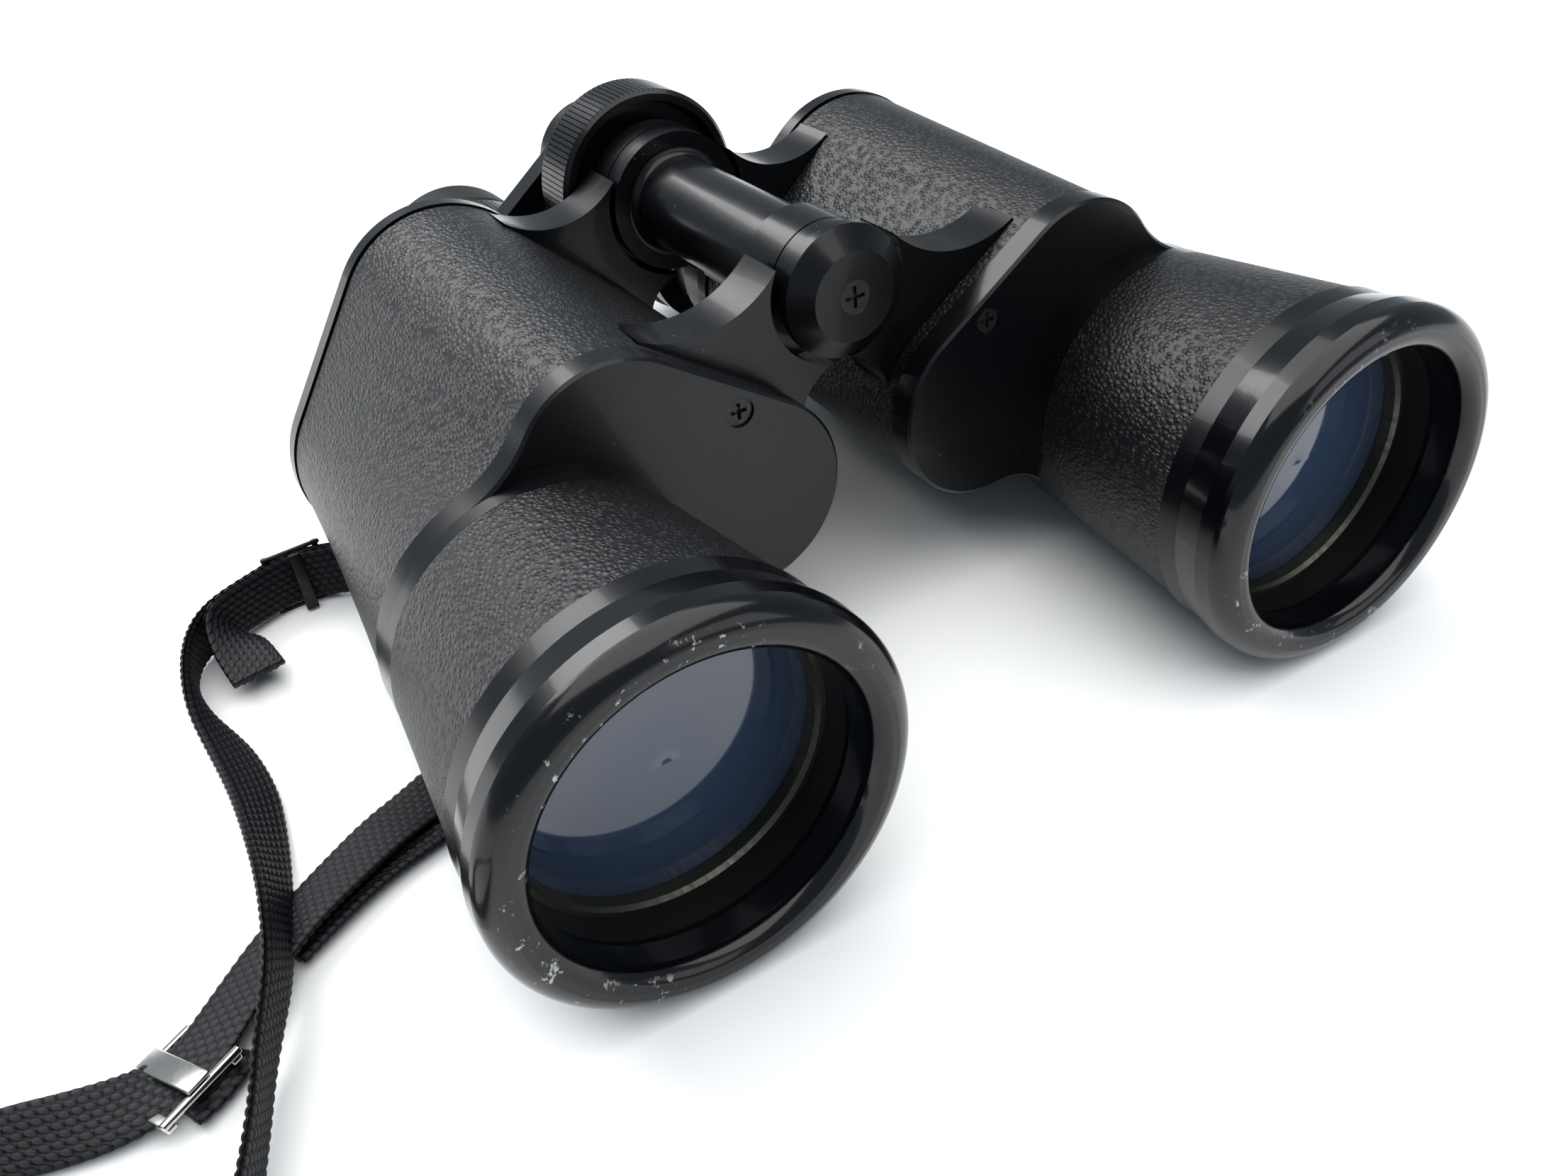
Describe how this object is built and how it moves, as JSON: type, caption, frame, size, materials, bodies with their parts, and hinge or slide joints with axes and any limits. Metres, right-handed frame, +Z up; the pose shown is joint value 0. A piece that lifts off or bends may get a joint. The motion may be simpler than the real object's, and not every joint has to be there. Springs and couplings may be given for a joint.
{
  "type": "binoculars",
  "caption": "Porro-prism binoculars with centre focusing, a folding hinge, tapered barrels, pebbled covering and a narrow webbing neck strap lying beside them.",
  "frame": {"origin": "on the table under the middle of the binoculars, strap left out", "axes": "+Z up, +Y from the objectives to the eyepieces, +X to the user's left half; the optical axes slope down to the rear by 5.32 degrees as it lies"},
  "size_m": [0.3534, 0.2663, 0.0764],
  "materials": {
    "satin_black": "satin black enamel on cast and turned aluminium",
    "gloss_black": "glossy black enamel, worn at the lip",
    "leatherette": "pebbled black covering",
    "flat_black": "flat black, inside",
    "coated_glass": "blue-grey single coating",
    "prism_glass": "polished optical glass",
    "olive_ring": "olive-grey anodised",
    "dull_steel": "dull steel",
    "gunmetal": "dark gunmetal",
    "bright_nickel": "bright nickel plate",
    "eyecup_black": "matt black moulded eyecup",
    "webbing": "coarse woven black nylon"
  },
  "bodies": {
    "right_half": {"right_objective_ring": "gloss_black", "right_objective_barrel": "satin_black", "right_barrel_covering": "leatherette", "right_lens_cell": "flat_black", "right_objective_lens": "coated_glass", "right_lens_retaining_ring": "olive_ring", "right_prism_housing": "satin_black", "right_hinge_lugs": "satin_black", "right_housing_covering": "leatherette", "right_front_cover": "satin_black", "right_rear_cover": "satin_black", "right_cover_screws": "dull_steel", "right_prisms": "prism_glass", "right_strap_lug": "satin_black", "right_eyepiece_guide": "satin_black", "hinge_pin": "dull_steel", "hinge_tube": "satin_black", "hinge_cap": "satin_black", "hinge_cap_screw": "dull_steel", "wheel_nut": "satin_black", "strap_right_tab": "webbing", "strap_right_glide": "gunmetal", "strap_long_run": "webbing", "strap_loop_glide": "bright_nickel", "strap_short_run": "webbing", "strap_under_right_half": "webbing", "strap_rear_run": "webbing"},
    "left_half": {"left_objective_ring": "gloss_black", "left_objective_barrel": "satin_black", "left_barrel_covering": "leatherette", "left_lens_cell": "flat_black", "left_objective_lens": "coated_glass", "left_lens_retaining_ring": "olive_ring", "left_prism_housing": "satin_black", "left_hinge_lugs": "satin_black", "left_housing_covering": "leatherette", "left_front_cover": "satin_black", "left_rear_cover": "satin_black", "left_cover_screws": "dull_steel", "left_prisms": "prism_glass", "left_strap_lug": "satin_black", "left_eyepiece_guide": "satin_black", "strap_left_end": "webbing"},
    "focus_wheel": {"focus_wheel": "satin_black"},
    "right_eyepiece": {"focus_spindle": "dull_steel", "bridge_cap": "satin_black", "right_bridge_arm": "satin_black", "right_eyepiece_tube": "satin_black"},
    "left_eyepiece": {"left_bridge_arm": "satin_black", "left_eyepiece_tube": "satin_black", "left_ocular_cell": "flat_black", "left_field_lens": "coated_glass", "left_eye_lens": "coated_glass", "left_eyepiece_ring": "satin_black", "left_eyecup": "eyecup_black"},
    "right_ocular": {"right_ocular_cell": "flat_black", "right_field_lens": "coated_glass", "right_eye_lens": "coated_glass", "right_eyecup": "eyecup_black"},
    "dioptre_ring": {"right_dioptre_ring": "satin_black"}
  },
  "joints": [
    {"name": "fold", "type": "hinge", "parent": "right_half", "child": "left_half", "pos_m": [0, -0.0008, 0.06112], "axis": [0, -0.9957, 0.0927], "range_deg": [0, 68]},
    {"name": "focus_turn", "type": "hinge", "parent": "right_half", "child": "focus_wheel", "pos_m": [0, 0.04301, 0.05705], "axis": [0, 0.9957, -0.0927], "range_deg": [-200, 250]},
    {"name": "right_focus_slide", "type": "slide", "parent": "right_half", "child": "right_eyepiece", "axis": [0, 0.9957, -0.0927], "range_m": [-0.00345, 0.0043]},
    {"name": "left_focus_slide", "type": "slide", "parent": "left_half", "child": "left_eyepiece", "axis": [0, 0.9957, -0.0927], "range_m": [-0.00345, 0.0043]},
    {"name": "dioptre_slide", "type": "slide", "parent": "right_eyepiece", "child": "right_ocular", "axis": [0, 0.9957, -0.0927], "range_m": [-0.0012, 0.0012]},
    {"name": "dioptre_turn", "type": "hinge", "parent": "right_ocular", "child": "dioptre_ring", "pos_m": [-0.0257, 0.07439, 0.02731], "axis": [0, 0.9957, -0.0927], "range_deg": [-61, 61]}
  ],
  "couplings": [
    {"joint": "focus_turn", "follows": "right_focus_slide", "rad_per_m": 1000},
    {"joint": "left_focus_slide", "follows": "right_focus_slide", "ratio": 1},
    {"joint": "dioptre_turn", "follows": "dioptre_slide", "rad_per_m": 872.6}
  ]
}
